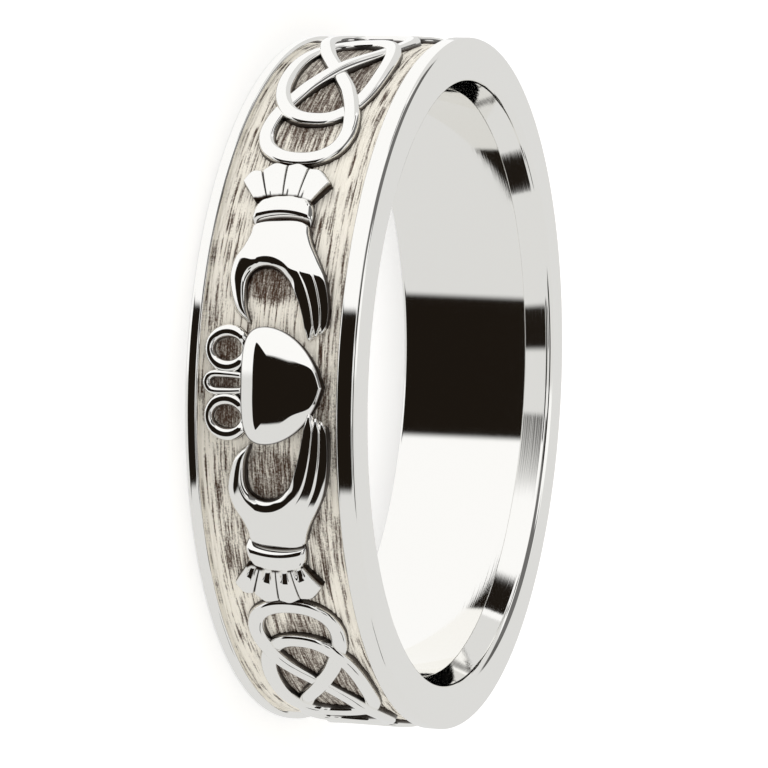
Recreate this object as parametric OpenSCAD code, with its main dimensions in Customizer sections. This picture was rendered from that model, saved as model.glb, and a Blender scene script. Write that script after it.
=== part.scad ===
// Claddagh ring: a flat band with two raised rims, and between them a sunk channel that
// carries the heart, hands and crown on the front and a woven knot all the way round.
// The ring lies on its side. Z runs along the finger, the heart faces -Y and the crown
// looks down. u runs across the band (+Z), v runs round it, h is the height over the channel.

/* [Band] */
// Diameter of the finger hole
bore_d = 18.2; // [16:0.1:22]
// Thickness of the band from the finger hole to the top of the rims
wall = 1.6; // [1.3:0.05:2.4]
// Width of the band along the finger
band_w = 5.15; // [4.9:0.05:7]
// Width of each raised rim
rim_w = 0.48; // [0.35:0.01:0.6]
// Depth of the channel between the rims
channel_depth = 0.22; // [0.15:0.01:0.35]
// Rounding at both ends of the finger hole
bore_round = 0.18; // [0.08:0.01:0.3]
// Rounding of the rims' outer edges
rim_round = 0.12; // [0.05:0.01:0.2]

/* [Knots] */
// Number of knots round the band, with the one on each side of the cuffs
knots = 6; // [4:1:8]
// Length round the band of the knot behind the upper cuff
upper_knot_len = 9.15; // [8:0.05:10]
// Length round the band of the knot behind the lower cuff
lower_knot_len = 7.95; // [7:0.05:9]
// Gap between neighbouring knots, and between a knot and a cuff
knot_gap = 0.06; // [0.02:0.01:0.2]
// Width of a knot across the band
knot_w = 3.4; // [3:0.05:3.8]
// Width of the knots' strands
strand_w = 0.4; // [0.3:0.01:0.5]
// Height of the strands above the channel floor
strand_h = 0.32; // [0.25:0.01:0.5]
// Rise and fall of a strand where it crosses another
weave_h = 0.05; // [0.02:0.01:0.08]

/* [Claddagh] */
// Length round the band from cuff end to cuff end
badge_len = 13.6; // [12.8:0.1:14.4]
// Width across the band that the heart, hands and crown share
badge_w = 4; // [3.6:0.05:4.1]
// Height of the heart above the channel floor
heart_h = 0.42; // [0.3:0.01:0.6]
// Height of the hands above the channel floor
hand_h = 0.36; // [0.3:0.01:0.55]
// Height of the cuffs above the channel floor
cuff_h = 0.34; // [0.28:0.01:0.5]
// Height of the crown above the channel floor
crown_h = 0.32; // [0.25:0.01:0.5]
// Width of the crown's wire
wire_w = 0.23; // [0.18:0.01:0.3]

/* [Casting] */
// How far the ornament sits off the middle of the band, towards the crown
ornament_shift = 0.09; // [0:0.01:0.15]
// How far it drifts from side to side on its way round
ornament_drift = 0.16; // [0:0.01:0.2]

/* [Hidden] */
$fn = 96;
// Radius of the rims, of the channel's floor, and of the bed under that floor's skin
rim_r = bore_d / 2 + wall;
floor_r = rim_r - channel_depth;
ground_h = wall / 10;
bed_r = floor_r - ground_h / 2;
// How deep every raised form is rooted in the channel's floor
foot = ground_h / 2;
// Steps round the channel's floor, and of each small rounding
ground_steps = 144;
round_steps = 4;

// Heart: half its outline from the tip to the notch, shares of the badge's half sizes
HEART = [ // across, along
    [0.85, 0], [0.71, 0.075], [0.54, 0.15], [0.33, 0.21], [0.08, 0.245], [-0.17, 0.245],
    [-0.35, 0.215], [-0.43, 0.16], [-0.42, 0.08], [-0.32, 0]
];
HEART_MIDDLE = [0.12, 0];
HEART_DOME = [ // share of the outline, share of the height
    [1, 0.5], [0.93, 0.8], [0.76, 0.95], [0.42, 1.05]
];

// Hand: from the thumb's tip over the wrist to the fingertips, edge of the opening and
// outer edge as shares of the badge's half sizes, and how far the fingers are parted
HAND = [ // inner across, inner along, outer across, outer along, parting
    [-0.28, 0.255, -0.36, 0.265, 0], [-0.39, 0.325, -0.54, 0.31, 0], [-0.435, 0.39, -0.62, 0.39, 0],
    [-0.43, 0.45, -0.65, 0.465, 0], [-0.35, 0.49, -0.6, 0.535, 0], [-0.25, 0.51, -0.5, 0.595, 0],
    [-0.18, 0.515, -0.4, 0.645, 0], [-0.13, 0.515, -0.43, 0.68, 0], [-0.05, 0.513, -0.22, 0.705, 0],
    [0.01, 0.505, 0.22, 0.705, 0], [0.08, 0.495, 0.44, 0.68, 0], [0.12, 0.485, 0.44, 0.645, 0],
    [0.18, 0.47, 0.56, 0.595, 0.1], [0.26, 0.445, 0.69, 0.53, 0.35], [0.34, 0.405, 0.81, 0.45, 0.8],
    [0.43, 0.35, 0.88, 0.36, 1], [0.5, 0.295, 0.895, 0.3, 1], [0.555, 0.235, 0.88, 0.255, 1],
    [0.585, 0.18, 0.85, 0.23, 1]
];
HAND_DOME = [ // share of the way from inner to outer edge, height on the palm, height on the fingers
    [0, 0.5, 0.5], [0.14, 0.85, 0.95], [0.27, 0.95, 0.95], [0.38, 1, 0.5], [0.53, 1, 0.9],
    [0.68, 0.97, 0.45], [0.83, 0.85, 0.8], [1, 0.5, 0.4]
];

// Cuff: a cord and a collar across the wrist, then a ruffle of four pleats
CORD = [ // across, along, width
    [-0.48, 0.712, 0.24], [-0.25, 0.727, 0.3], [0, 0.732, 0.3], [0.25, 0.722, 0.3], [0.48, 0.698, 0.24]
];
COLLAR = [ // across, along, width
    [-0.5, 0.777, 0.34], [-0.25, 0.785, 0.42], [0, 0.79, 0.44], [0.25, 0.783, 0.42], [0.45, 0.767, 0.34]
];
RUFFLE = [ // inner across, inner along, outer across, outer along, height
    [-0.5, 0.81, -0.74, 0.9, 0.6], [-0.41, 0.815, -0.63, 0.955, 1], [-0.32, 0.82, -0.49, 0.96, 0.7],
    [-0.2, 0.825, -0.31, 1, 1], [-0.08, 0.825, -0.12, 0.99, 0.7], [0.04, 0.825, 0.06, 1, 1],
    [0.16, 0.82, 0.23, 0.975, 0.7], [0.25, 0.81, 0.43, 0.965, 1], [0.36, 0.8, 0.62, 0.9, 0.6]
];
RUFFLE_DOME = [ // share of the way from collar to hem, share of the height
    [0, 0.55], [0.3, 0.8], [0.75, 1], [0.94, 0.9], [1, 0.6]
];

// Crown: a round loop on each side and a pointed arch between them
LOOP_MIDDLE = [-0.66, 0.155];
LOOP_SIZE = [0.22, 0.074];
ARCH = [ // across, along, width
    [-0.41, 0.024, 0.7], [-0.65, 0.04, 0.6], [-0.86, 0.038, 0.85], [-0.95, 0, 0.9],
    [-0.86, -0.038, 0.85], [-0.65, -0.04, 0.6], [-0.41, -0.024, 0.7]
];

// Knot: an oval laced through a figure of eight, which is two strands with their ends tucked
// into each other
OVAL_LEN = 0.59;
OVAL_CORNER = 2.4;
EIGHT = [ // across, along, weave, size of the strand, from the crossing to the end of the loop
    [0, 0, 1, 1], [0.39, 0.21, 0.1, 1], [0.57, 0.33, -0.7, 1], [0.73, 0.46, -1, 1],
    [0.85, 0.6, -0.8, 1], [0.87, 0.74, -0.4, 1], [0.73, 0.86, -0.1, 1], [0.41, 0.935, 0, 1],
    [0, 0.957, 0, 1], [-0.15, 0.95, 0, 0.7]
];

// Cross-section of every strand: share of the width, share of the height, foot below the floor
STRAND = [[-0.5, -1], [-0.4, 0.8], [0, 1], [0.4, 0.8], [0.5, -1]];

// Angle round the ring of a length along the rims
function wind(v) = v / rim_r * 180 / PI;

// Sideways drift of the ornament at a place round the ring
function askew(v) = -ornament_shift - ornament_drift * sin(wind(v));

// Point of space for a point across, along and above the channel floor
function on_band(u, v, h) = [
    -(floor_r + h) * sin(wind(v)),
    -(floor_r + h) * cos(wind(v)),
    band_w / 2 + u + askew(v)
];

// Height above the floor of a share of a height, where a negative share is the foot
function rise(share, height) = share < 0 ? -foot : share * height;

// Smooth curve through rows of any number of columns
function between(a, b, c, d, t) =
    (2 * b + (c - a) * t + (2 * a - 5 * b + 4 * c - d) * t * t + (3 * b - a - 3 * c + d) * t * t * t) / 2;
function smooth(rows, steps) = let (last = len(rows) - 1) [
    for (i = [0 : last - 1]) for (k = [0 : steps - 1])
        between(rows[max(i - 1, 0)], rows[i], rows[i + 1], rows[min(i + 2, last)], k / steps),
    rows[last]
];
function smooth_loop(rows, steps) = let (n = len(rows)) [
    for (i = [0 : n - 1]) for (k = [0 : steps - 1])
        between(rows[(i + n - 1) % n], rows[i], rows[(i + 1) % n], rows[(i + 2) % n], k / steps)
];

// Rows in the other order
function reversed(rows) = [for (i = [len(rows) - 1 : -1 : 0]) rows[i]];

// Unit vector square to a path at row i, on its left
function left_of(path, i, closed) =
    let (
        n = len(path),
        a = closed ? path[(i + n - 1) % n] : path[max(i - 1, 0)],
        b = closed ? path[(i + 1) % n] : path[min(i + 1, n - 1)],
        d = [b[0] - a[0], b[1] - a[1]]
    ) [-d[1], d[0]] / norm(d);

// Skin over a list of cross-sections, each a list of the same number of points
module skin(sections, closed = false) {
    n = len(sections);
    m = len(sections[0]);
    spans = closed ? n : n - 1;
    sides = [
        for (i = [0 : spans - 1]) for (j = [0 : m - 1])
            let (a = i * m + j, b = i * m + (j + 1) % m, c = ((i + 1) % n) * m + (j + 1) % m,
                d = ((i + 1) % n) * m + j)
                each [[a, b, c], [a, c, d]]
    ];
    first = [for (j = [1 : m - 2]) [0, j + 1, j]];
    last = [for (j = [1 : m - 2]) [(n - 1) * m, (n - 1) * m + j, (n - 1) * m + j + 1]];
    polyhedron([for (s = sections) each s], closed ? sides : concat(sides, first, last), convexity = 8);
}

// Strand along a path of rows: across, along, width, height
module strand(path, closed = false) {
    skin([
        for (i = [0 : len(path) - 1])
            let (p = path[i], side = left_of(path, i, closed))
                [for (s = STRAND)
                    on_band(p[0] + side[0] * s[0] * p[2], p[1] + side[1] * s[0] * p[2], rise(s[1], p[3]))]
    ], closed);
}

// Domed form inside an outline, from its foot to the crest over its middle
module dome(outline, middle, steps, height) {
    n = len(outline);
    rings = concat([[1, -1]], steps);
    points = [
        for (s = rings) for (p = outline)
            on_band(middle[0] + (p[0] - middle[0]) * s[0], middle[1] + (p[1] - middle[1]) * s[0],
                rise(s[1], height))
    ];
    sides = [
        for (i = [0 : len(rings) - 2]) for (j = [0 : n - 1])
            let (a = i * n + j, b = i * n + (j + 1) % n, c = a + n, d = b + n)
                each [[a, c, b], [b, c, d]]
    ];
    top = (len(rings) - 1) * n;
    crest = [for (j = [1 : n - 2]) [top, top + j + 1, top + j]];
    base = [for (j = [1 : n - 2]) [0, j, j + 1]];
    polyhedron(points, concat(sides, crest, base), convexity = 8);
}

// Place across and along for shares of the badge's half sizes, on the upper or lower side
function on_badge(share, side = 1) = [share[0] * badge_w / 2, side * share[1] * badge_len / 2];

// Band with its rims and channel
module band() {
    inner = bore_d / 2;
    rotate_extrude()
        polygon(concat(
            [[inner, bore_round]],
            [for (k = [1 : round_steps]) let (a = 90 * k / round_steps)
                [inner + bore_round * (1 - cos(a)), bore_round * (1 - sin(a))]],
            [for (k = [0 : round_steps]) let (a = 90 * k / round_steps)
                [rim_r - rim_round * (1 - sin(a)), rim_round * (1 - cos(a))]],
            [[rim_r, rim_w], [bed_r, rim_w], [bed_r, band_w - rim_w], [rim_r, band_w - rim_w]],
            [for (k = [0 : round_steps]) let (a = 90 * k / round_steps)
                [rim_r - rim_round * (1 - cos(a)), band_w - rim_round * (1 - sin(a))]],
            [for (k = [0 : round_steps]) let (a = 90 * k / round_steps)
                [inner + bore_round * (1 - sin(a)), band_w - bore_round * (1 - cos(a))]]
        ));
}

// Heart between the hands
module heart() {
    half = [for (p = HEART) on_badge(p)];
    below = [for (i = [len(HEART) - 2 : -1 : 1]) [half[i][0], -half[i][1]]];
    dome(smooth_loop(concat(half, below), 2), on_badge(HEART_MIDDLE), HEART_DOME, heart_h);
}

// Hand that holds the heart, seen from its back, with a thumb and three fingers
module hand(side) {
    stations = [
        for (r = HAND)
            let (inner = on_badge([r[0], r[1]], side), outer = on_badge([r[2], r[3]], side),
                dome = concat([[0, -1, -1]], HAND_DOME, [[1, -1, -1]]))
                [for (d = dome)
                    let (p = inner + (outer - inner) * d[0], share = d[1] + (d[2] - d[1]) * r[4])
                        on_band(p[0], p[1], rise(share, hand_h))]
    ];
    skin(side > 0 ? stations : reversed(stations));
}

// Cord and collar round the wrist
module cuff(side) {
    for (table = [CORD, COLLAR])
        strand([for (r = smooth(table, 2))
            let (p = on_badge(r, side)) [p[0], p[1], r[2] * badge_w / 4, cuff_h]]);
}

// Pleated ruffle behind the collar
module ruffle(side) {
    stations = [
        for (r = smooth(RUFFLE, 2))
            let (inner = on_badge([r[0], r[1]], side), outer = on_badge([r[2], r[3]], side),
                dome = concat([[0, -1]], RUFFLE_DOME, [[1, -1]]))
                [for (d = dome)
                    let (p = inner + (outer - inner) * d[0])
                        on_band(p[0], p[1], rise(d[1] * r[4], cuff_h))]
    ];
    skin(side > 0 ? stations : reversed(stations));
}

// Crown on the heart: two round loops and an arch
module crown() {
    for (side = [-1, 1])
        strand([for (k = [0 : 15])
            let (middle = on_badge(LOOP_MIDDLE, side), size = on_badge(LOOP_SIZE))
                [middle[0] + size[0] * cos(22.5 * k), middle[1] + size[1] * sin(22.5 * k),
                    wire_w, crown_h]],
            closed = true);
    strand([for (r = smooth(ARCH, 2))
        let (p = on_badge(r)) [p[0], p[1], r[2] * wire_w, crown_h]]);
}

// One knot of a given length with its middle at a place round the band
module knot(middle, length) {
    across = (knot_w - strand_w) / 2;
    along = length / 2;
    strand([for (k = [0 : 23])
        let (a = 15 * k, c = cos(a), s = sin(a), e = 2 / OVAL_CORNER)
            [across * sign(c) * pow(abs(c), e), middle + along * OVAL_LEN * sign(s) * pow(abs(s), e),
                strand_w, strand_h + weave_h * sin(2 * a)]],
        closed = true);
    last = len(EIGHT) - 1;
    for (side = [-1, 1]) {
        bend = concat(reversed(EIGHT),
            [for (i = [1 : last]) [-EIGHT[i][0], -EIGHT[i][1], EIGHT[i][2], EIGHT[i][3]]]);
        strand([for (r = side > 0 ? bend : reversed(bend))
            [side * across * r[0], middle + along * r[1], strand_w * r[3],
                (strand_h + side * weave_h * r[2]) * r[3]]]);
    }
}

// Knots all round, the rest sharing what the first two and the badge leave
module braid() {
    round_len = 2 * PI * rim_r;
    taken = badge_len + upper_knot_len + lower_knot_len + knot_gap * (knots + 1);
    pitch = (round_len - taken) / (knots - 2);
    start = badge_len / 2 + knot_gap;
    knot(start + upper_knot_len / 2, upper_knot_len);
    knot(-start - lower_knot_len / 2, lower_knot_len);
    for (i = [0 : knots - 3])
        knot(start + upper_knot_len + knot_gap + pitch / 2 + i * (pitch + knot_gap), pitch);
}

// Skin of the channel's floor, let into the rims on both sides
module ground() {
    rotate_extrude($fn = ground_steps)
        translate([floor_r - ground_h, rim_w / 2])
            square([ground_h, band_w - rim_w]);
}

// Everything that stands in the channel, one skin with its floor
module relief() {
    ground();
    heart();
    crown();
    for (side = [-1, 1]) {
        hand(side);
        cuff(side);
        ruffle(side);
    }
    braid();
}

// The ring as it is cast; a size of 0 leaves the ornament's skin as drawn
module ring() {
    color("silver") {
        band();
        resize([0, 0, 0]) relief();
    }
}

ring();
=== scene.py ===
"""Claddagh ring in cast and polished silver, lying on its side on a pale studio floor.

Sizes are in millimetres until a mesh is made, and in metres in the scene. The ring's frame
is the CAD frame: Z runs along the finger, the heart faces -Y and the crown looks down.
Ornament is drawn on the band in three lengths: u across the band, v round it, h over the floor
of the channel.
"""

import logging
import math
from dataclasses import dataclass
from enum import Enum

import bpy
import numpy as np
from mathutils import Matrix, Vector


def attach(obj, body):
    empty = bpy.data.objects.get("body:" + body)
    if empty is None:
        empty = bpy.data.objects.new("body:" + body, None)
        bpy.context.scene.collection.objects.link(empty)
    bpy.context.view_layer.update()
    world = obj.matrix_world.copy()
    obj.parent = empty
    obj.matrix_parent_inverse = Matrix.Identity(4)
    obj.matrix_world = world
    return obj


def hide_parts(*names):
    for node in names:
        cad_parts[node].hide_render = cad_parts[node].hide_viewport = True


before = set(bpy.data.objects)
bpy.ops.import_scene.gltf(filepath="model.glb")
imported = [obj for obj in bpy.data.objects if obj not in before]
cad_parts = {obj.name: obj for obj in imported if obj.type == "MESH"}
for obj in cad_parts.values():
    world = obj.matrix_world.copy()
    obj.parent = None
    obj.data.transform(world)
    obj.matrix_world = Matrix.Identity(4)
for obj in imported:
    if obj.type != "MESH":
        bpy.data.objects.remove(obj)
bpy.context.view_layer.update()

logging.basicConfig(level=logging.INFO, format="%(name)s: %(message)s")
log = logging.getLogger("ring")

Array, Piece = np.ndarray, bpy.types.Object
Socket, Tree = bpy.types.NodeSocket, bpy.types.NodeTree

MM = 0.001
NODE = "ring"
BODY = "root"
WORN = "worn"
LATTICE = 512
FOOT_DEPTH = 0.06


class Section(Enum):
    """Cross-section of a strand: share of the height and of the half width that its upright
    wall takes, and the power of the rounding of its top."""

    ROUND = (0.4, 0.08, 2.1)
    CUSHION = (0.4, 0.1, 2.5)


class Side(Enum):
    """Upper or lower half of the badge, as the heart is seen with its crown at the left."""

    UPPER = 1
    LOWER = -1


def linear(code: str) -> tuple[float, float, float, float]:
    """Turn an sRGB hex colour into linear values.

    Args:
        code: Six hex digits after a hash.

    Returns:
        Linear red, green and blue, and an alpha of one.
    """
    parts = [int(code[i : i + 2], 16) / 255 for i in (1, 3, 5)]
    return (*(p / 12.92 if p <= 0.04045 else ((p + 0.055) / 1.055) ** 2.4 for p in parts), 1.0)


def add(tree: Tree, kind: str, inputs: dict | None = None, **settings) -> bpy.types.Node:
    """Add a node with its settings, values and links.

    Args:
        tree: The node tree.
        kind: The node's type, without the ShaderNode before it.
        inputs: Value or output socket for each input, by name or number.
        settings: The node's own properties.

    Returns:
        The new node.
    """
    made = tree.nodes.new(f"ShaderNode{kind}")
    for name, value in settings.items():
        setattr(made, name, value)
    for name, value in (inputs or {}).items():
        if isinstance(value, Socket):
            tree.links.new(value, made.inputs[name])
        else:
            made.inputs[name].default_value = value
    return made


def mix(tree: Tree, factor: object, low: object, high: object, kind: str = "RGBA") -> Socket:
    """Mix two values by a factor.

    Args:
        tree: The node tree.
        factor: 0 gives the low value and 1 the high one; a number or a socket.
        low: Value or socket.
        high: Value or socket.
        kind: RGBA for colours, FLOAT for numbers.

    Returns:
        The mixed value's socket.
    """
    return add(tree, "Mix", {"Factor": factor, "A": low, "B": high}, data_type=kind).outputs["Result"]


def rise(tree: Tree, value: Socket, low: float, high: float) -> Socket:
    """Let a value rise smoothly from 0 at low to 1 at high, in a node."""
    inputs = {"Value": value, "From Min": low, "From Max": high}
    return add(tree, "MapRange", inputs, interpolation_type="SMOOTHSTEP").outputs["Result"]


def bareness(tree: Tree) -> Socket:
    """Read how bare the wheel left the metal, which the mesh carries at each point."""
    return add(tree, "Attribute", attribute_name=WORN, attribute_type="GEOMETRY").outputs["Fac"]


def follow(rows: Array, t: Array, closed: bool = False) -> Array:
    """Walk a smooth curve through rows: between two rows it is the cubic that leaves and
    reaches them in the direction of their neighbours (a Catmull-Rom curve).

    Args:
        rows: Rows to pass through, any number of columns.
        t: Places on the curve, where whole numbers are rows.
        closed: Whether the last row leads back to the first.

    Returns:
        One row for each place.
    """
    rows = np.asarray(rows, float)
    count = len(rows)
    i = np.floor(t).astype(int)
    if not closed:
        i = np.clip(i, 0, count - 2)
    f = (np.asarray(t, float) - i)[..., None]
    a, b, c, d = (
        rows[(i + k) % count] if closed else rows[np.clip(i + k, 0, count - 1)] for k in (-1, 0, 1, 2)
    )
    return (2 * b + (c - a) * f + (2 * a - 5 * b + 4 * c - d) * f**2 + (3 * b - a - 3 * c + d) * f**3) / 2


def ease(x: Array, low: float, high: float) -> Array:
    """Rise smoothly from 0 at low to 1 at high: 3s squared less 2s cubed."""
    s = np.clip((x - low) / (high - low), 0, 1)
    return s * s * (3 - 2 * s)


def value_noise(x: Array, y: Array, seed: int, period: int) -> Array:
    """Smooth noise from random values on a whole-number lattice, eased between its corners.

    Args:
        x: First coordinate, in lattice steps.
        y: Second coordinate, in lattice steps, which repeats after the period.
        seed: Start of the random draw.
        period: Lattice steps after which y repeats.

    Returns:
        Values from -1 to 1.
    """
    table = np.random.default_rng(seed).uniform(-1, 1, (LATTICE, period))
    i, j = np.floor(x).astype(int), np.floor(y).astype(int)
    fx, fy = ease(x - i, 0, 1), ease(y - j, 0, 1)
    i0, i1, j0, j1 = i % LATTICE, (i + 1) % LATTICE, j % period, (j + 1) % period
    low = table[i0, j0] * (1 - fx) + table[i1, j0] * fx
    high = table[i0, j1] * (1 - fx) + table[i1, j1] * fx
    return low * (1 - fy) + high * fy


def distance(place: Array, edge: Array, closed: bool = False) -> Array:
    """Distance from places to an edge: each place is dropped square onto every straight piece of
    the edge, held between the piece's ends, and the shortest of those lengths is kept.

    Args:
        place: Places, with across and along in the last column pair.
        edge: Corners of the edge, one row each.
        closed: Whether the last corner joins the first.

    Returns:
        One distance for each place.
    """
    start, end = (edge, np.roll(edge, -1, 0)) if closed else (edge[:-1], edge[1:])
    way = end - start
    gap = place[..., None, :] - start
    share = np.clip((gap * way).sum(-1) / np.maximum((way * way).sum(-1), 1e-12), 0, 1)
    return np.linalg.norm(gap - share[..., None] * way, axis=-1).min(-1)


def shoulder(away: Array, reach: Array | float) -> Array:
    """Fall of a rounded shoulder, a quarter ellipse: 1 at the edge and 0 at its reach."""
    q = np.clip(away / reach, 0, 1)
    return 1 - np.sqrt(1 - (1 - q) ** 2)


def shell(name: str, points: Array, worn: Array, joined: bool) -> Piece:
    """Make a closed skin over a grid of cross-sections, each a loop of points. Open ends are
    closed with a fan to the middle of the end section. Faces are turned so that the volume
    inside, the sum of the tetrahedra from the origin to each face, is positive.

    Args:
        name: Name of the piece.
        points: Sections by points by 3, in millimetres.
        worn: How bare the wheel left the metal at each point, from 0 in a recess to 1.
        joined: Whether the last section leads back to the first.

    Returns:
        The mesh object, in metres.
    """
    n, m = points.shape[:2]
    spans = n if joined else n - 1
    i, j = np.meshgrid(np.arange(spans), np.arange(m), indexing="ij")
    k, l = (i + 1) % n, (j + 1) % m
    quads = np.stack([i * m + j, i * m + l, k * m + l, k * m + j], -1).reshape(-1, 4)
    verts, bare = points.reshape(-1, 3), worn.reshape(-1)
    fans = np.zeros((0, 3), int)
    if not joined:
        ring, last = np.arange(m), (n - 1) * m
        onward = np.roll(ring, -1)
        near = np.stack([np.full(m, n * m), onward, ring], -1)
        far = np.stack([np.full(m, n * m + 1), ring + last, onward + last], -1)
        fans = np.vstack([near, far])
        verts = np.vstack([verts, points[0].mean(0), points[-1].mean(0)])
        bare = np.concatenate([bare, [worn[0].mean(), worn[-1].mean()]])
    thirds = np.vstack([quads[:, [0, 1, 2]], quads[:, [0, 2, 3]], fans])
    a, b, c = verts[thirds].transpose(1, 0, 2)
    if np.einsum("ij,ij->i", a, np.cross(b, c)).sum() < 0:
        quads, fans = quads[:, ::-1], fans[:, ::-1]
    mesh = bpy.data.meshes.new(name)
    mesh.from_pydata((verts * MM).tolist(), [], quads.tolist() + fans.tolist(), shade_flat=False)
    mesh.attributes.new(WORN, "FLOAT", "POINT").data.foreach_set("value", bare.astype(np.float32))
    mesh.validate()
    made = bpy.data.objects.new(name, mesh)
    bpy.context.scene.collection.objects.link(made)
    return made


@dataclass(frozen=True)
class Finish:
    """Base of the finishes: a named metal surface and how it was worked."""

    name: str

    def surface(self, tree: Tree) -> dict:
        """Give the metal shader's inputs, which each finish has of its own."""
        raise NotImplementedError

    def make(self) -> bpy.types.Material:
        """Make a metal material of the surface.

        Returns:
            The material.
        """
        made = bpy.data.materials.new(self.name)
        made.use_nodes = True
        tree = made.node_tree
        tree.nodes.clear()
        metal = add(tree, "BsdfPrincipled", {"Metallic": 1.0, **self.surface(tree)})
        add(tree, "OutputMaterial", {"Surface": metal.outputs["BSDF"]})
        return made

    def noise(self, tree: Tree, size_mm: float, length_mm: float, detail: float, rough: float) -> Socket:
        """Give noise that is one size across the band and drawn out to a length round it.

        Args:
            tree: The node tree.
            size_mm: Size across the band.
            length_mm: Size in the ring's plane.
            detail: Number of finer layers.
            rough: Strength of each finer layer beside the one before it.

        Returns:
            The noise, about a half, as a socket.
        """
        place = add(tree, "TexCoord").outputs["Object"]
        along, across = 1 / (length_mm * MM), 1 / (size_mm * MM)
        drawn = add(tree, "Mapping", {"Vector": place, "Scale": (along, along, across)})
        inputs = {"Vector": drawn.outputs["Vector"], "Scale": 1.0, "Detail": detail, "Roughness": rough}
        return add(tree, "TexNoise", inputs).outputs["Fac"]

    def bump(self, tree: Tree, height: Socket, strength: float, depth_mm: float) -> Socket:
        """Let a height shade the metal as if it was cut to a depth, by a strength from 0 to 1."""
        inputs = {"Height": height, "Strength": strength, "Distance": depth_mm * MM}
        return add(tree, "Bump", inputs).outputs["Normal"]


@dataclass(frozen=True)
class PolishedSilver(Finish):
    """Sterling silver, cast, then polished on a felt wheel: a mirror that is a little warm, with
    hairline wheel marks, and brown-black oxide where the wheel can't reach the foot of a wall."""

    metal: str = "#FBFAF7"
    recess: str = "#33271E"
    roughness: tuple = (0.024, 0.064)
    recess_roughness: float = 0.4
    mark_mm: float = 0.05
    mark_depth_mm: float = 0.01
    mark_strength: float = 0.01

    def surface(self, tree: Tree) -> dict:
        """Give the shader's inputs.

        Args:
            tree: The node tree.

        Returns:
            Value or socket for each input.
        """
        bare = bareness(tree)
        marks = self.noise(tree, self.mark_mm, self.mark_mm, 3.0, 0.6)
        polish = mix(tree, marks, *self.roughness, "FLOAT")
        return {
            "Base Color": mix(tree, bare, linear(self.recess), linear(self.metal)),
            "Roughness": mix(tree, bare, self.recess_roughness, polish, "FLOAT"),
            "Normal": self.bump(tree, marks, self.mark_strength, self.mark_depth_mm),
        }


@dataclass(frozen=True)
class LinedSilver(Finish):
    """Sterling silver, lined round the ring with a graver and oxidised, then wiped: brown in the
    cuts and bright on the ridges between them, with specks where the wiping missed."""

    cut: str = "#49301D"
    ridge: str = "#FFF9EC"
    line_mm: float = 0.03
    line_length_mm: float = 0.4
    speck_mm: float = 0.06
    line_share: float = 0.5
    speck_share: float = 0.26
    shade_range: tuple = (0.29, 0.51)
    roughness: float = 0.45
    metallic: float = 0.45
    cut_depth_mm: float = 0.03
    cut_strength: float = 0.9

    def surface(self, tree: Tree) -> dict:
        """Give the shader's inputs.

        Args:
            tree: The node tree.

        Returns:
            Value or socket for each input.
        """
        lines = self.noise(tree, self.line_mm, self.line_length_mm, 3.0, 0.6)
        specks = self.noise(tree, self.speck_mm, self.speck_mm, 2.0, 0.7)
        lined = mix(tree, self.line_share, bareness(tree), lines, "FLOAT")
        both = mix(tree, self.speck_share, lined, specks, "FLOAT")
        shade = rise(tree, both, *self.shade_range)
        return {
            "Base Color": mix(tree, shade, linear(self.cut), linear(self.ridge)),
            "Roughness": self.roughness,
            "Metallic": self.metallic,
            "Normal": self.bump(tree, both, self.cut_strength, self.cut_depth_mm),
        }


@dataclass(frozen=True)
class TurnedSilver(Finish):
    """Sterling silver, turned and polished: flat faces and bore are a mirror, with faint lines
    round the ring that the tool left."""

    metal: str = "#FBFAF7"
    line_mm: float = 0.03
    line_length_mm: float = 6.0
    line_depth_mm: float = 0.01
    line_strength: float = 0.06
    roughness: tuple = (0.025, 0.075)

    def surface(self, tree: Tree) -> dict:
        """Give the shader's inputs.

        Args:
            tree: The node tree.

        Returns:
            Value or socket for each input.
        """
        lines = self.noise(tree, self.line_mm, self.line_length_mm, 2.0, 0.5)
        return {
            "Base Color": linear(self.metal),
            "Roughness": mix(tree, lines, *self.roughness, "FLOAT"),
            "Normal": self.bump(tree, lines, self.line_strength, self.line_depth_mm),
        }


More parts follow.
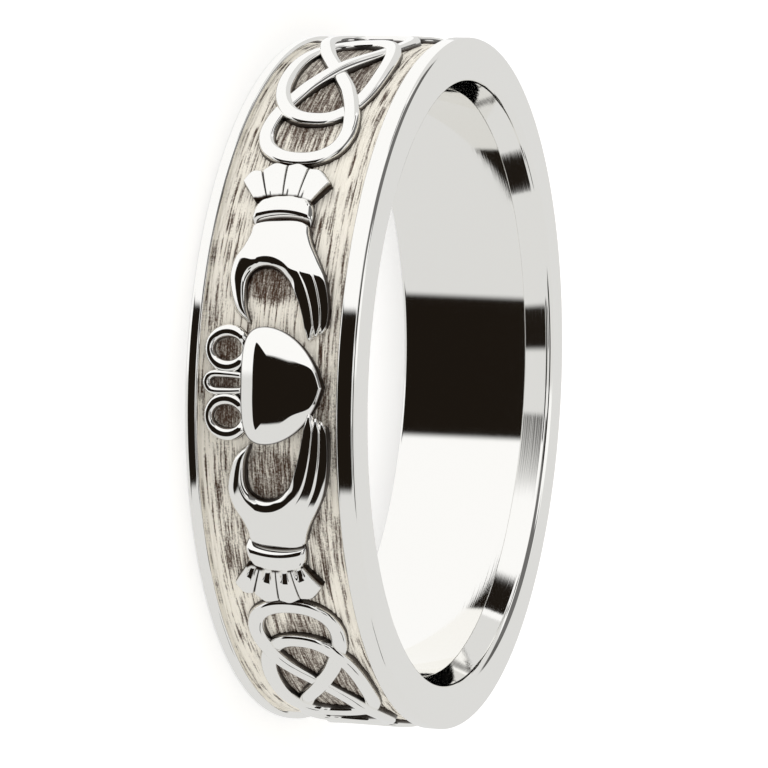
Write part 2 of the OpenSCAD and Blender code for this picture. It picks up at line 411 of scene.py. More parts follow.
@dataclass
class Band:
    """Band of the ring with its two rims, its side faces and the finger hole."""

    bore_d: float = 18.2
    wall: float = 1.6
    width: float = 5.15
    rim_w: float = 0.48
    channel_depth: float = 0.22
    bore_round: tuple = (0.12, 0.22)
    rim_round: float = 0.13
    lip_round: float = 0.09
    bed_depth: float = 0.08
    channel_off: float = -0.1
    flare_w: float = 0.64
    flare_d: float = 0.26
    shift: float = 0.09
    drift: float = 0.16
    steps: int = 512
    arc_steps: int = 8
    support: float = 0.015
    support_share: float = 0.3

    @property
    def rim_r(self) -> float:
        """Radius of the rims' tops."""
        return self.bore_d / 2 + self.wall

    @property
    def floor_r(self) -> float:
        """Radius of the channel's floor."""
        return self.rim_r - self.channel_depth

    def on_band(self, u: Array, v: Array, h: Array) -> Array:
        """Place points given across, along and above the floor: v is wound round the rims as an
        angle, h is added to the floor's radius, and the ornament's drift is added to u.

        Args:
            u: Across the band.
            v: Round the band.
            h: Above the channel's floor.

        Returns:
            Points in the ring's frame.
        """
        u, v, h = np.broadcast_arrays(u, v, h)
        angle = v / self.rim_r
        radius = self.floor_r + h
        askew = -self.shift - self.drift * np.sin(angle)
        return np.stack([-radius * np.sin(angle), -radius * np.cos(angle), self.width / 2 + u + askew], -1)

    def profile(self) -> Array:
        """Draw the section of the band: straight faces joined by quarter rounds, a shallow flare
        at the upper end of the finger hole, and close to each end of a straight face one more
        point, which keeps its shading flat.

        Returns:
            Radius and height of each point, going round the section.
        """
        inner, outer, bed = self.bore_d / 2, self.rim_r, self.floor_r - self.bed_depth
        w, rr, rl = self.width, self.rim_round, self.lip_round
        low_rb, high_rb = self.bore_round

        def quarter(centre: tuple[float, float], radius: float, first: float) -> Array:
            """Quarter round that turns from its first angle, in quarter turns."""
            a = (first + np.linspace(0, 1, self.arc_steps + 1)) * np.pi / 2
            return np.stack([centre[0] + radius * np.cos(a), centre[1] + radius * np.sin(a)], -1)

        low_lip, high_lip = self.rim_w + self.channel_off, w - self.rim_w + self.channel_off
        runs = [
            quarter((inner + low_rb, low_rb), low_rb, 2),
            quarter((outer - rr, rr), rr, 3),
            quarter((outer - rl, low_lip - rl), rl, 0),
            np.array([[bed, low_lip], [bed, high_lip]]),
            quarter((outer - rl, high_lip + rl), rl, 3),
            quarter((outer - rr, w - rr), rr, 0),
            quarter((inner + self.flare_d + high_rb, w - high_rb), high_rb, 1),
            np.array([[inner, w - high_rb - self.flare_w]]),
        ]
        corners = np.vstack(runs)
        onward = np.roll(corners, -1, 0)
        span = np.linalg.norm(onward - corners, axis=1, keepdims=True)
        share = np.minimum(self.support / np.maximum(span, 1e-9), self.support_share)
        step = (onward - corners) * share
        rows = np.stack([corners, corners + step, onward - step], 1)
        keep = np.ones((len(corners), 3), bool)
        keep[:, 1:] = span > 4 * self.support
        return rows[keep]

    def build(self) -> Piece:
        """Turn the section about the finger hole's axis.

        Returns:
            The band.
        """
        radius, height = self.profile().T
        a = np.arange(self.steps) / self.steps * 2 * np.pi
        height = np.broadcast_to(height, (self.steps, len(height)))
        points = np.stack([np.cos(a)[:, None] * radius, np.sin(a)[:, None] * radius, height], -1)
        return shell("band", points, np.ones(points.shape[:2]), joined=True)


@dataclass
class Ground:
    """Floor of the channel, lined round the ring with a graver."""

    band: Band
    knots: list
    around: int = 396
    across: int = 240
    depth: float = 0.16
    overlap: float = 0.04
    line_mm: float = 0.045
    line_length_mm: float = 1.0
    layers: tuple = ((1.0, 1.0), (0.5, 0.5))
    wander_mm: float = 0.6
    wanders: int = 40
    wander_step: float = 7.0
    seeds: tuple = (11, 21)
    cut: float = 0.014
    fade: float = 0.08
    wiped: tuple = (0.55, 0.6)
    pockets: tuple = (
        (-0.08, 3.0, 0.78, 0.62, 0.93), (-0.05, -2.65, 0.78, 0.85, 0.78), (-1.28, 0.97, 0.35, 0.4, 0.95),
        (-1.28, -0.97, 0.35, 0.4, 0.95), (-1.35, 0, 0.4, 0.25, 0.95), (1.8, -1.1, 0.3, 1.6, 0.6),
        (1.8, 1.2, 0.3, 1.2, 0.4), (-1.75, 2.2, 0.25, 0.9, 0.4), (-1.45, -3.4, 0.45, 1.9, 0.42),
        (1.6, -4.7, 0.4, 1.1, 0.5),
    )
    knot_pocket: tuple = (1.2, 0.4, 0.75)
    pocket_edge: tuple = (0.8, 1.5)

    def oxide(self, angle: Array, z: Array) -> Array:
        """Give the oxide left in the pockets between raised forms and within each knot, each an
        ellipse with a soft edge: most in the middle, and none past the far side of the edge.

        Args:
            angle: Turn about the finger hole's axis.
            z: Height along that axis.

        Returns:
            Share of oxide, from 0 to the most that a pocket keeps.
        """
        b = self.band
        v = b.rim_r * np.arctan2(-np.cos(angle), -np.sin(angle))
        u = z - b.width / 2 + b.shift + b.drift * np.sin(v / b.rim_r)
        most = np.zeros_like(u)
        whole = 2 * np.pi * b.rim_r
        half_width, part, darkness = self.knot_pocket
        within = [(0.0, middle, half_width, part * length, darkness) for middle, length in self.knots]
        for across, along, half_u, half_v, share in (*self.pockets, *within):
            off = (v - along + whole / 2) % whole - whole / 2
            away = np.hypot((u - across) / half_u, off / half_v)
            most = np.maximum(most, share * (1 - ease(away, *self.pocket_edge)))
        return most

    def build(self) -> Piece:
        """Make the lined floor: its height is two layers of noise drawn out along the ring, the
        second with half the spacing and half the height, and it dies away at the rims.

        Returns:
            The lined floor with its sides and underside.
        """
        b = self.band
        low = b.rim_w - self.overlap + b.channel_off
        high = b.width - b.rim_w + self.overlap + b.channel_off
        z = np.linspace(low, high, self.across)
        angle = np.arange(self.around) / self.around * 2 * np.pi
        zz, aa = np.meshgrid(z, angle)
        length = 2 * np.pi * b.floor_r
        lines = np.zeros_like(zz)
        share = aa / (2 * np.pi)
        for k, (size, part) in enumerate(self.layers):
            period = int(length / (self.line_length_mm * size))
            off = zz / self.wander_mm + self.wander_step * k
            wander = value_noise(off, share * self.wanders, self.seeds[0] + k, self.wanders)
            x = zz / (self.line_mm * size) + wander
            lines += part * value_noise(x, share * period, self.seeds[1] + k, period)
        inside = ease(zz, low, low + self.fade) * ease(-zz, -high, -high + self.fade)
        under = ((0, 0), (0, 2))
        top = b.floor_r + self.cut * lines * inside
        radius = np.pad(top, under, constant_values=b.floor_r - self.depth)
        heights = np.concatenate([zz, np.tile([high, low], (self.around, 1))], 1)
        turned = angle[:, None]
        points = np.stack([radius * np.cos(turned), radius * np.sin(turned), heights], -1)
        middle, contrast = self.wiped
        worn = np.clip(middle + contrast * lines, 0, 1) * (1 - self.oxide(aa, zz))
        return shell("lined_ground", points, np.pad(worn, under), joined=True)


@dataclass
class Strand:
    """Strand of cast silver laid along a path on the band."""

    band: Band
    section: Section
    around: int = 19
    wiped: tuple = (0.9, 0.2)

    def lay(self, name: str, path: Array, width: Array | float, height: Array, closed: bool) -> Piece:
        """Carry the section along a path, square to it. An upright wall stands on each side, and
        the top between the walls is the curve where the powers of its share of the half width
        and of the height left over the wall add up to one. The metal is bare from just under
        the wall's top.

        Args:
            name: Name of the piece.
            path: Across and along for each step.
            width: Width at each step, or one for all.
            height: Height over the floor at each step.
            closed: Whether the path closes on itself.

        Returns:
            The strand.
        """
        way = np.roll(path, -1, 0) - np.roll(path, 1, 0) if closed else np.gradient(path, axis=0)
        way /= np.linalg.norm(way, axis=1, keepdims=True)
        left = np.stack([-way[:, 1], way[:, 0]], -1)
        wall, lean, corner = self.section.value
        turn = np.linspace(0, np.pi, self.around)
        power = 2 / corner
        top_share = -(1 - lean) * np.sign(np.cos(turn)) * np.abs(np.cos(turn)) ** power
        top_rise = wall + (1 - wall) * np.abs(np.sin(turn)) ** power
        share = np.pad(top_share, 2, constant_values=(-1, 1))
        top = np.pad(top_rise, 2)
        sunk = np.pad(np.zeros(len(top) - 2), 1, constant_values=FOOT_DEPTH)
        side = share * np.reshape(width, (-1, 1)) / 2
        h = top * height[:, None] - sunk
        u = path[:, :1] + left[:, :1] * side
        v = path[:, 1:] + left[:, 1:] * side
        low, high = self.wiped
        worn = np.broadcast_to(ease(top, low * wall, wall + high * (1 - wall)), h.shape)
        return shell(name, self.band.on_band(u, v, h), worn, joined=closed)


@dataclass
class Badge:
    """Sizes that the heart, hands, cuffs and crown share."""

    band: Band
    length: float = 13.6
    width: float = 4.0
    wiped: float = 0.04

    def share(self, rows: Array, side: Side = Side.UPPER) -> Array:
        """Turn rows that start with shares of the badge's half sizes into millimetres."""
        return np.asarray(rows)[..., :2] * [self.width / 2, side.value * self.length / 2]

    def form(self, name: str, place: Array, h: Array, worn: Array) -> Piece:
        """Make a raised form, with a foot full of oxide sunk under both edges of each station.

        Args:
            name: Name of the piece.
            place: Across and along, stations by points by 2.
            h: Height over the floor of each point.
            worn: How bare the metal is at each point.

        Returns:
            The form.
        """
        edges = ((0, 0), (1, 1))
        u, v = (np.pad(place[..., axis], edges, mode="edge") for axis in range(2))
        h = np.pad(h, edges, constant_values=-FOOT_DEPTH)
        return shell(name, self.band.on_band(u, v, h), np.pad(worn, edges), joined=False)


@dataclass
class Heart:
    """Heart between the hands: a low dome inside a broad bevel."""

    badge: Badge
    wall: tuple = (0.28, 0.11)
    bevel_slope: float = 28.0
    bevel: tuple = (0.34, 0.46)
    notch: tuple = (-0.75, -0.2)
    notch_bevel: float = 1.3
    lift: float = -0.05
    dome_slope: float = 13.0
    dome_reach: float = 1.35
    tip: tuple = (0.7, 1.6)
    tip_bevel: float = 0.16
    steps: int = 320
    rows: int = 90
    crowding: float = 1.25
    wiped: float = 0.05
    outline: tuple = (
        (0.85, 0), (0.75, 0.08), (0.57, 0.155), (0.335, 0.213), (0.09, 0.244), (-0.13, 0.246),
        (-0.28, 0.222), (-0.36, 0.17), (-0.385, 0.085), (-0.385, 0),
    )
    middle: tuple = (0.12, 0.0)

    def rise(self, away: Array) -> Array:
        """Height over the wall, which is the slope summed up over the distance from the outline:
        a straight bevel that eases into a slope falling evenly to nothing.

        Args:
            away: Distance from the outline.

        Returns:
            Height over the wall.
        """
        fine = np.linspace(0, 2, 801)
        low, high = self.bevel
        over = ease(fine, low, high)
        left = np.clip((self.dome_reach - fine) / (self.dome_reach - high), 0, 1)
        bevel, dome = (math.tan(math.radians(angle)) for angle in (self.bevel_slope, self.dome_slope))
        slope = bevel * (1 - over) + dome * left * over
        return np.interp(away, fine, np.cumsum(slope) * (fine[1] - fine[0]))

    def build(self) -> Piece:
        """Make the heart: rows of points shrink from the outline to the middle, and each rises
        with its distance from the outline. Towards the tip the rise is drawn smaller by a share
        in both directions, which keeps its slope, and the wall takes up the rest of the bevel.

        Returns:
            The heart.
        """
        half = follow(self.outline, np.linspace(0, len(self.outline) - 1, self.steps // 2 + 1))
        back = half[-2:0:-1] * [1, -1]
        edge = self.badge.share(np.vstack([half, back]))
        middle = self.badge.share(self.middle)
        reach = 1 - np.linspace(0, 1, self.rows) ** self.crowding
        reach = np.concatenate([[1.0], reach[:-1]])
        place = middle + (edge - middle) * reach[:, None, None]
        away = distance(place, edge, closed=True)
        size = 1 - (1 - self.tip_bevel) * ease(place[..., 0], *self.tip)
        size += (self.notch_bevel - 1) * (1 - ease(place[..., 0], *self.notch))
        wall = np.interp(place[..., 0], (edge[:, 0].min(), edge[:, 0].max()), self.wall)
        h = wall + (1 - size) * self.rise(np.array(self.bevel[0])) + size * self.rise(away / size)
        h[0] = -FOOT_DEPTH
        worn = ease(away, 0.0, self.wiped)
        place = place + [0, self.lift]
        return shell("heart", self.badge.band.on_band(place[..., 0], place[..., 1], h), worn, joined=False)


@dataclass
class Crown:
    """Crown at the heart's notch: two round loops and a pointed arch of wire."""

    badge: Badge
    wire: float = 0.4
    slim: float = 0.24
    height: float = 0.22
    sunk: float = 0.4
    loop_sinks: tuple = (0.75, 1.0)
    arch_sinks: tuple = (-0.42, -0.34)
    loop_steps: int = 96
    arch_steps: int = 90
    loop_middle: tuple = (-0.625, 0.145)
    loop_size: tuple = (0.28, 0.077)
    arch: tuple = (
        (-0.34, 0.03, 0.55), (-0.6, 0.036, 0.6), (-0.85, 0.034, 0.66), (-0.93, 0, 0.7),
        (-0.85, -0.034, 0.66), (-0.6, -0.036, 0.6), (-0.34, -0.03, 0.55),
    )

    def build(self) -> list[Piece]:
        """Bend the wires: each loop is an ellipse whose wire is slimmer where it runs along the
        band, by the square of the cosine of the turn, and the arch a smooth curve through its
        rows. All wires sink where they pass under the heart.

        Returns:
            Two loops and the arch.
        """
        wire = Strand(self.badge.band, Section.ROUND)
        turn = np.arange(self.loop_steps) / self.loop_steps * 2 * np.pi
        width = self.wire * (1 - self.slim * np.cos(turn) ** 2)
        height = self.height * (1 - self.sunk * ease(np.cos(turn), *self.loop_sinks))
        size = self.badge.share(self.loop_size)
        made = []
        for side in Side:
            middle = self.badge.share(self.loop_middle, side)
            path = middle + np.stack([size[0] * np.cos(turn), size[1] * np.sin(turn)], -1)
            made.append(wire.lay(f"crown_loop_{side.name.lower()}", path, width, height, closed=True))
        rows = follow(self.arch, np.linspace(0, len(self.arch) - 1, self.arch_steps))
        path = self.badge.share(rows)
        height = self.height * (1 - self.sunk * ease(rows[:, 0], *self.arch_sinks))
        made.append(wire.lay("crown_arch", path, rows[:, 2] * self.wire, height, closed=False))
        return made


@dataclass
class Hand:
    """Hand that holds the heart, seen from its back: thumb, palm, and three fingers."""

    badge: Badge
    side: Side
    height: float = 0.37
    stations: int = 190
    across: int = 64
    inner_round: float = 0.32
    inner_drop: float = 0.6
    inner_share: float = 0.3
    outer_round: tuple = (0.38, 0.13)
    outer_drop: float = 0.62
    outer_share: float = 0.66
    nudge: tuple = (-0.04, 0.07)
    crease: tuple = (3.42, 0.22)
    fall_slope: tuple = (10.5, 0.0)
    fall_to: float = 1.7
    wrist: tuple = (4.35, 4.75)
    wrist_tight: float = 0.4
    finger_edges: tuple = (0.0, 0.38, 0.69, 1.0)
    finger_tops: tuple = (0.98, 0.92, 0.82)
    groove: float = 0.13
    groove_power: int = 26
    longer: tuple = (0.0, 0.075)
    longer_from: float = 5.0
    tip: float = 1.1
    tip_gap: float = 0.15
    tip_drop: float = 0.6
    tip_power: float = 2.4
    tip_notch: tuple = (0.75, 2.0)
    finger_side: tuple = (-0.3, 0.7)
    narrowest: float = 0.05
    table: tuple = (
        (-0.28, 0.255, -0.36, 0.265, 0), (-0.36, 0.325, -0.54, 0.31, 0), (-0.39, 0.385, -0.645, 0.385, 0),
        (-0.385, 0.435, -0.69, 0.46, 0), (-0.33, 0.472, -0.63, 0.535, 0), (-0.25, 0.492, -0.52, 0.595, 0),
        (-0.18, 0.5, -0.455, 0.645, 0), (-0.12, 0.502, -0.41, 0.69, 0), (-0.05, 0.5, -0.2, 0.712, 0),
        (0.01, 0.494, 0.2, 0.712, 0), (0.07, 0.485, 0.43, 0.69, 0), (0.12, 0.474, 0.49, 0.645, 0),
        (0.18, 0.458, 0.56, 0.595, 0.1), (0.26, 0.435, 0.68, 0.53, 0.35), (0.34, 0.4, 0.81, 0.45, 0.8),
        (0.43, 0.35, 0.88, 0.36, 1), (0.5, 0.295, 0.895, 0.3, 1), (0.555, 0.235, 0.88, 0.255, 1),
        (0.585, 0.18, 0.85, 0.23, 1),
    )

    def build(self) -> Piece:
        """Make the hand: stations go from the thumb's tip over the wrist to the fingertips, and
        the height falls to both edges as a quarter ellipse of the distance from them. Along the
        fingers it changes into three flat domes with grooves between them, and both ends are
        rounded down. From a crease over the palm the hand falls towards the heart, by half the
        slope times the square of the way past the end of the fall.

        Returns:
            The hand.
        """
        low = self.side is Side.LOWER
        last = len(self.table) - 1
        x = (1 - np.cos(np.linspace(0, np.pi, self.across))) / 2
        s = np.linspace(0, last, self.stations)[:, None]
        edges = np.array(self.finger_edges)
        which = np.clip(np.searchsorted(edges, x, side="right") - 1, 0, 2)
        part = 2 * (x - edges[which]) / (edges[which + 1] - edges[which]) - 1
        lobe = 1 - np.abs(part) ** self.tip_power
        deep, stations = self.tip_notch
        notch = deep * (1 - lobe) * ease(s, last - stations, last)
        rows = follow(self.table, s - notch)
        rows[..., [1, 3]] -= self.longer[low] * ease(s - notch, last - self.longer_from, last)[..., None]
        inner = self.badge.share(rows, self.side)
        outer = self.badge.share(rows[..., 2:], self.side)
        place = inner + (outer - inner) * x[:, None]
        to_fingers = ease(place[..., 0], *self.finger_side)
        outer_round = self.outer_round[0] + (self.outer_round[1] - self.outer_round[0]) * to_fingers
        from_inner = distance(place, inner[:, 0])
        from_outer = distance(place, outer[:, -1])
        narrow = np.maximum(np.linalg.norm(outer - inner, axis=-1), self.narrowest)
        tight = 1 - self.wrist_tight * ease(np.abs(place[..., 1]), *self.wrist)
        inner_reach = np.minimum(self.inner_round, self.inner_share * narrow)
        outer_reach = np.minimum(outer_round * tight, self.outer_share * narrow)
        drop = self.inner_drop * shoulder(from_inner, inner_reach)
        palm = 1 - drop - self.outer_drop * shoulder(from_outer, outer_reach)
        fingers = np.array(self.finger_tops)[which] - self.groove * np.abs(part) ** self.groove_power
        parted = rows[..., 4]
        h = palm * (1 - parted) + fingers * parted
        ends = np.minimum((s + self.tip_gap) / self.tip, (last - s + self.tip_gap) / self.tip)
        h = self.height * h * (1 - self.tip_drop * shoulder(ends, 1.0))
        high = self.crease[0] - self.crease[1] * place[..., 0]
        past = np.clip(np.abs(place[..., 1]), self.fall_to, high) - self.fall_to
        slope = math.tan(math.radians(self.fall_slope[low]))
        h -= slope * ((high - self.fall_to) ** 2 - past**2) / (2 * (high - self.fall_to))
        worn = ease(np.minimum(from_inner, from_outer), 0.0, self.badge.wiped)
        place = place + [self.nudge[low], 0]
        return self.badge.form(f"hand_{self.side.name.lower()}", place, h, worn)


@dataclass
class Cuff:
    """Cuff behind a hand: a broad round sleeve, and a pleated ruffle that flares out of it."""

    badge: Badge
    side: Side
    sleeve_at: float = 4.84
    sleeve_bow: float = 0.2
    sleeve_middle: float = -0.03
    sleeve_side: float = 0.26
    sleeve_drop: float = 0.68
    sleeve_front: float = 0.06
    sleeve: tuple = (
        (0, 0.8, 0.02), (0.1, 0.87, 0.165), (0.2, 0.92, 0.3), (0.26, 0.94, 0.343), (0.34, 0.945, 0.362),
        (0.5, 0.93, 0.37), (0.64, 0.89, 0.355), (0.76, 0.85, 0.3), (0.84, 0.82, 0.22),
    )
    sleeve_steps: int = 120
    sleeve_rows: int = 60
    height: float = 0.34
    ruffle_steps: int = 280
    ruffle_rows: int = 44
    curve_steps: int = 200
    pleat_cut: float = 0.3
    pleat_half: float = 0.1
    pleat_short: float = 0.02
    pleat_start: tuple = (0.02, 0.1)
    ruffle: tuple = (
        (-0.5, 0.81, -0.74, 0.9), (-0.41, 0.815, -0.63, 0.955), (-0.31, 0.82, -0.48, 0.96),
        (-0.2, 0.825, -0.31, 1), (-0.07, 0.825, -0.1, 0.99), (0.04, 0.825, 0.06, 1),
        (0.16, 0.82, 0.24, 0.975), (0.25, 0.81, 0.43, 0.965), (0.36, 0.8, 0.62, 0.9),
    )
    pleat: tuple = ((0, 0.8), (0.3, 0.92), (0.7, 0.99), (0.92, 0.94), (1, 0.62))
    pocket: tuple = (
        (0, 0.42), (0.12, 0.46), (0.26, 0.62), (0.42, 0.86), (0.7, 0.98), (0.92, 0.94), (1, 0.62),
    )
    pocket_at: tuple = (0.3, 0.75)
    hollow: tuple = (0.3, 1.0)

    def build_sleeve(self) -> Piece:
        """Make the sleeve: its half width and height follow smooth curves from the wrist to the
        ruffle, its edges bow towards the heart at both sides by the square of the share across,
        and the sides fall as quarter ellipses.

        Returns:
            The sleeve.
        """
        curve = follow(self.sleeve, np.linspace(0, len(self.sleeve) - 1, self.sleeve_rows))
        share = np.sin(np.linspace(-np.pi / 2, np.pi / 2, self.sleeve_steps))[:, None]
        along, half, top = curve.T
        u = self.sleeve_middle + share * half
        v = self.side.value * (self.sleeve_at + along - self.sleeve_bow * share**2)
        aside = (1 - np.abs(share)) * half
        h = top * (1 - self.sleeve_drop * shoulder(aside, self.sleeve_side))
        worn = ease(aside, 0, self.badge.wiped) * ease(along, 0.0, self.sleeve_front)
        return self.badge.form(f"sleeve_{self.side.name.lower()}", np.stack([u, v], -1), h, worn)

    def build_ruffle(self) -> Piece:
        """Make the ruffle. Its height from sleeve to hem follows one curve near the cuts and
        another, with a pocket at its start, between them. A straight-sided cut at every second
        row of the table parts the pleats.

        Returns:
            The ruffle.
        """
        s = np.linspace(0, len(self.ruffle) - 1, self.ruffle_steps)[:, None]
        q = (1 - np.cos(np.linspace(0, np.pi, self.ruffle_rows))) / 2
        rows = follow(self.ruffle, s[:, 0])[:, None]
        inner = self.badge.share(rows, self.side)
        outer = self.badge.share(rows[..., 2:], self.side)
        to_cut = np.abs(s - 2 * np.round(s / 2))
        cut = np.clip(1 - to_cut / self.pleat_half, 0, 1)
        place = inner + (outer - inner) * (q * (1 - self.pleat_short * cut))[..., None]
        full, hollow = (
            np.interp(q, *follow(curve, np.linspace(0, len(curve) - 1, self.curve_steps)).T)
            for curve in (self.pleat, self.pocket)
        )
        depth = self.hollow[self.side is Side.LOWER]
        profile = full + depth * (hollow - full) * ease(to_cut, *self.pocket_at)
        h = self.height * profile * (1 - self.pleat_cut * cut)
        hem = (1 - q) * np.linalg.norm(outer - inner, axis=-1)
        worn = ease(hem, 0, self.badge.wiped) * (1 - cut) * ease(q, *self.pleat_start)
        return self.badge.form(f"ruffle_{self.side.name.lower()}", place, h, worn)

    def build(self) -> list[Piece]:
        """Build the sleeve and the ruffle."""
        return [self.build_sleeve(), self.build_ruffle()]


@dataclass
class Knot:
    """One knot of the braid: an oval laced through a figure of eight."""

    band: Band
    number: int
    middle: float
    length: float
    width: float = 3.4
    strand_w: float = 0.54
    height: float = 0.25
    weave: float = 0.06
    oval_len: float = 0.59
    oval_corner: float = 2.4
    oval_steps: int = 200
    eight_steps: int = 420
    eight: tuple = (
        (0, 0, 1), (0.39, 0.21, 0.1), (0.57, 0.33, -0.7), (0.73, 0.46, -1), (0.85, 0.6, -0.8),
        (0.87, 0.74, -0.4), (0.73, 0.86, -0.1), (0.41, 0.935, 0), (0, 0.957, 0),
    )

    def build(self) -> list[Piece]:
        """Lay both strands. The oval's half sizes are raised to the powers of a squared-off
        ellipse, and its height rises and falls twice on its way round. The eight is one smooth
        closed curve through its table, turned half round and mirrored.

        Returns:
            The oval and the eight.
        """
        across = (self.width - self.strand_w) / 2
        along = self.length / 2
        strand = Strand(self.band, Section.CUSHION)
        turn = np.arange(self.oval_steps) / self.oval_steps * 2 * np.pi
        power = 2 / self.oval_corner
        bent = [np.sign(f) * np.abs(f) ** power for f in (np.cos(turn), np.sin(turn))]
        oval = np.stack([across * bent[0], self.middle + along * self.oval_len * bent[1]], -1)
        height = self.height + self.weave * np.sin(2 * turn)
        first = strand.lay(f"knot_oval_{self.number}", oval, self.strand_w, height, closed=True)
        arm = np.array(self.eight)
        flipped = arm[-2:0:-1] * [-1, 1, -1]
        upper = np.vstack([arm, flipped])
        table = np.vstack([upper, upper * [1, -1, -1]])
        rows = follow(table, np.linspace(0, len(table), self.eight_steps, endpoint=False), closed=True)
        path = np.stack([across * rows[:, 0], self.middle + along * rows[:, 1]], -1)
        height = self.height + self.weave * rows[:, 2]
        return [first, strand.lay(f"knot_eight_{self.number}", path, self.strand_w, height, closed=True)]


@dataclass
class Braid:
    """Knots all round the band between the cuffs' ruffles."""

    badge: Badge
    knots: int = 6
    upper_len: float = 9.15
    lower_len: float = 7.95
    gap: float = 0.06

    def plan(self) -> list[tuple[float, float]]:
        """Share out the way round: the knots beside the cuffs have their own lengths, and the
        rest share what is left.

        Returns:
            Middle and length of each knot.
        """
        band = self.badge.band
        taken = self.badge.length + self.upper_len + self.lower_len + self.gap * (self.knots + 1)
        pitch = (2 * np.pi * band.rim_r - taken) / (self.knots - 2)
        start = self.badge.length / 2 + self.gap
        plan = [(start + self.upper_len / 2, self.upper_len), (-start - self.lower_len / 2, self.lower_len)]
        first = start + self.upper_len + self.gap + pitch / 2
        return plan + [(first + i * (pitch + self.gap), pitch) for i in range(self.knots - 2)]

    def build(self) -> list[Piece]:
        """Lay all strands of all knots."""
        plan = enumerate(self.plan(), 1)
        return [strand for number, knot in plan for strand in Knot(self.badge.band, number, *knot).build()]


@dataclass
class Studio:
    """Pale floor, soft light and the white room with dark panels that the silver mirrors. A panel
    is a pair of turns and a pair of tilts, in degrees."""

    white: str = "#FFFFFF"
    grey: str = "#DEDEDD"
    dark: str = "#1C1712"
    floor: str = "#F4F3F1"
    glow: float = 0.34
    panels: tuple = (
        ((-70.0, -8.0), (-34.0, 21.0)), ((29.0, 50.0), (-34.0, 22.0)),
        ((52.0, 125.0), (-79.0, -71.5)), ((36.0, 110.0), (70.5, 79.0)), ((1.5, 14.0), (-30.0, -14.0)),
    )
    muted: tuple = ((1.5, 14.0), (-14.0, 42.0))
    band_height: tuple = (27.0, 64.0)
    band_tilt: tuple = (10.0, 71.0)
    band_share: float = 0.85
    behind: float = 120.0
    soft: float = 1.5
    floor_half: float = 1.5

    def room(self, axes: tuple[Vector, Vector, Vector]) -> None:
        """Set the world: each direction is given as a turn to the right and a tilt up from the
        wall in front of the heart. Light is white above the wall's middle, and grey below it,
        in the muted panel and past a turn behind the ring. A band of the sky, between two
        heights over the floor and two tilts, is shaded by a share, and the dark panels add to
        it. Only the silver sees them: the camera and the paper see white.

        Args:
            axes: Right, up and front of the room.
        """
        world = bpy.data.worlds.new("studio")
        bpy.context.scene.world = world
        world.use_nodes = True
        tree = world.node_tree
        tree.nodes.clear()
        way = add(tree, "TexCoord").outputs["Generated"]

        def reckon(operation: str, a: object, b: object = 0.0) -> Socket:
            """Result of one operation on numbers."""
            return add(tree, "Math", {0: a, 1: b}, operation=operation).outputs[0]

        def toward(axis: Vector) -> Socket:
            """Part of the direction that lies along an axis."""
            inputs = {0: way, 1: tuple(axis)}
            return add(tree, "VectorMath", inputs, operation="DOT_PRODUCT").outputs["Value"]

        right, up, front = (toward(axis) for axis in axes)
        turn, tilt = reckon("ARCTAN2", right, front), reckon("ARCSINE", up)
        height = reckon("ARCSINE", toward(Vector((0, 0, 1))))

        def past(value: Socket, degrees: float) -> Socket:
            """Rise from 0 to 1 where an angle passes a number of degrees."""
            return rise(tree, value, math.radians(degrees - self.soft), math.radians(degrees + self.soft))

        def within(value: Socket, pair: tuple[float, float]) -> Socket:
            """1 between two angles and 0 outside."""
            return reckon("SUBTRACT", past(value, pair[0]), past(value, pair[1]))

        def panel(turns: tuple[float, float], tilts: tuple[float, float], first: Socket = turn) -> Socket:
            """1 within two pairs of angles and 0 outside."""
            return reckon("MULTIPLY", within(first, turns), within(tilt, tilts))

        cover = reckon("MULTIPLY", panel(self.band_height, self.band_tilt, height), self.band_share)
        for turns, tilts in self.panels:
            cover = reckon("ADD", cover, panel(turns, tilts))
        white, grey, dark = linear(self.white), linear(self.grey), linear(self.dark)
        light = mix(tree, past(tilt, 0.0), grey, white)
        light = mix(tree, panel(*self.muted), light, grey)
        light = mix(tree, past(turn, self.behind), light, grey)
        room = mix(tree, cover, light, dark)
        path = add(tree, "LightPath").outputs
        seen = reckon("MAXIMUM", path["Is Camera Ray"], path["Is Diffuse Ray"])
        back = add(tree, "Background", {"Color": mix(tree, seen, room, white)})
        add(tree, "OutputWorld", {"Surface": back.outputs[0]})

    def lay_floor(self) -> Piece:
        """Lay the pale floor, a plain matt sheet that the silver doesn't mirror.

        Returns:
            The floor.
        """
        mesh = bpy.data.meshes.new("studio_floor")
        half = self.floor_half
        corners = [(-half, -half, 0), (half, -half, 0), (half, half, 0), (-half, half, 0)]
        mesh.from_pydata(corners, [], [(0, 1, 2, 3)])
        floor = bpy.data.objects.new("studio_floor", mesh)
        bpy.context.scene.collection.objects.link(floor)
        paper = bpy.data.materials.new("matt_paper")
        paper.use_nodes = True
        tree = paper.node_tree
        tree.nodes.clear()
        inputs = {
            "Base Color": linear(self.floor), "Roughness": 1.0, "Specular IOR Level": 0.0,
            "Emission Color": linear(self.white), "Emission Strength": self.glow,
        }
        sheet = add(tree, "BsdfPrincipled", inputs)
        add(tree, "OutputMaterial", {"Surface": sheet.outputs[0]})
        mesh.materials.append(paper)
        floor.visible_glossy = False
        return floor


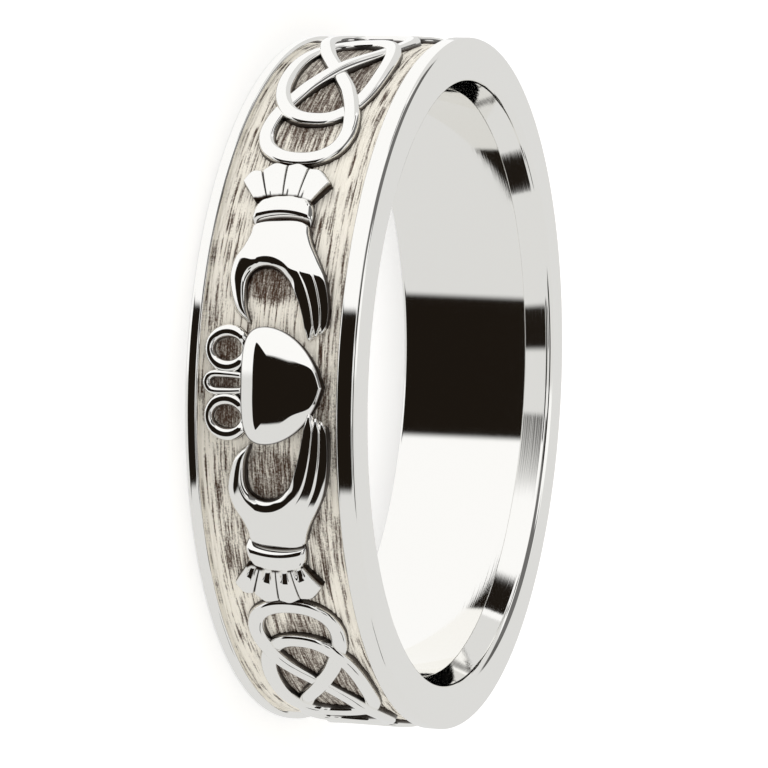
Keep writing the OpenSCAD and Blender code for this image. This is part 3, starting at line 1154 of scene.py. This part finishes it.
@dataclass
class PhotoCamera:
    """Camera at the photograph's angle: square to the heart, a little above it, and rolled so
    that the band stands upright in the picture. Its focal length is in pixels of the picture."""

    aim: tuple = (0.0, 0.0, 2.575)
    round_angle: float = math.radians(1.34)
    height_angle: float = 0.3248
    roll: float = 0.0349
    distance: float = 110.0
    sensor: float = 36.0
    picture: float = 768.0
    focal: float = 3518.8
    shift: tuple = (-0.0074, -0.0044)
    clip: tuple = (0.005, 10.0)

    def axes(self) -> tuple[Vector, Vector, Vector]:
        """Give the directions of the view before the roll.

        Returns:
            Right, up and back to the camera.
        """
        a, phi = self.height_angle, self.round_angle
        back = Vector((-math.cos(a) * math.sin(phi), -math.cos(a) * math.cos(phi), math.sin(a)))
        right = Vector((-1, 0, 0)).cross(back).normalized()
        return right, back.cross(right), back

    def build(self) -> Piece:
        """Place the camera and make it the scene's.

        Returns:
            The camera.
        """
        right, up, back = self.axes()
        c, s = math.cos(self.roll), math.sin(self.roll)
        right, up = right * c + up * s, up * c - right * s
        place = (Vector(self.aim) + back * self.distance) * MM
        data = bpy.data.cameras.new("photo_camera")
        camera = bpy.data.objects.new("photo_camera", data)
        bpy.context.scene.collection.objects.link(camera)
        rows = [[right[i], up[i], back[i], place[i]] for i in range(3)]
        camera.matrix_world = Matrix(rows + [[0, 0, 0, 1]])
        data.lens = self.focal * self.sensor / self.picture
        data.sensor_width = self.sensor
        data.shift_x, data.shift_y = self.shift
        data.clip_start, data.clip_end = self.clip
        bpy.context.scene.camera = camera
        return camera


@dataclass
class CladdaghRing:
    """The whole ring, piece by piece."""

    badge: Badge

    def build(self) -> None:
        """Build every piece, dress it and tie it to the frame."""
        band, braid = self.badge.band, Braid(self.badge)
        self.dress([band.build()], TurnedSilver("turned_and_polished_silver"))
        self.dress([Ground(band, braid.plan()).build()], LinedSilver("lined_oxidised_silver"))
        cast = [Heart(self.badge).build(), *Crown(self.badge).build()]
        for side in Side:
            cast += [Hand(self.badge, side).build(), *Cuff(self.badge, side).build()]
        self.dress(cast + braid.build(), PolishedSilver("cast_polished_silver"))

    def dress(self, pieces: list[Piece], finish: Finish) -> None:
        """Give pieces their finish and their places in the frame.

        Args:
            pieces: The pieces.
            finish: What they are made of.
        """
        material = finish.make()
        for piece in pieces:
            piece.data.materials.append(material)
            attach(piece, BODY)
            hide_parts(NODE)
            log.info("%s, %d faces", piece.name, len(piece.data.polygons))


def main() -> None:
    """Build the camera, the ring and the studio, and note the sizes."""
    camera = PhotoCamera()
    camera.build()
    CladdaghRing(Badge(Band())).build()
    studio = Studio()
    studio.room(camera.axes())
    studio.lay_floor()
    bpy.context.scene.view_settings.view_transform = "Standard"


if __name__ == "__main__":
    main()
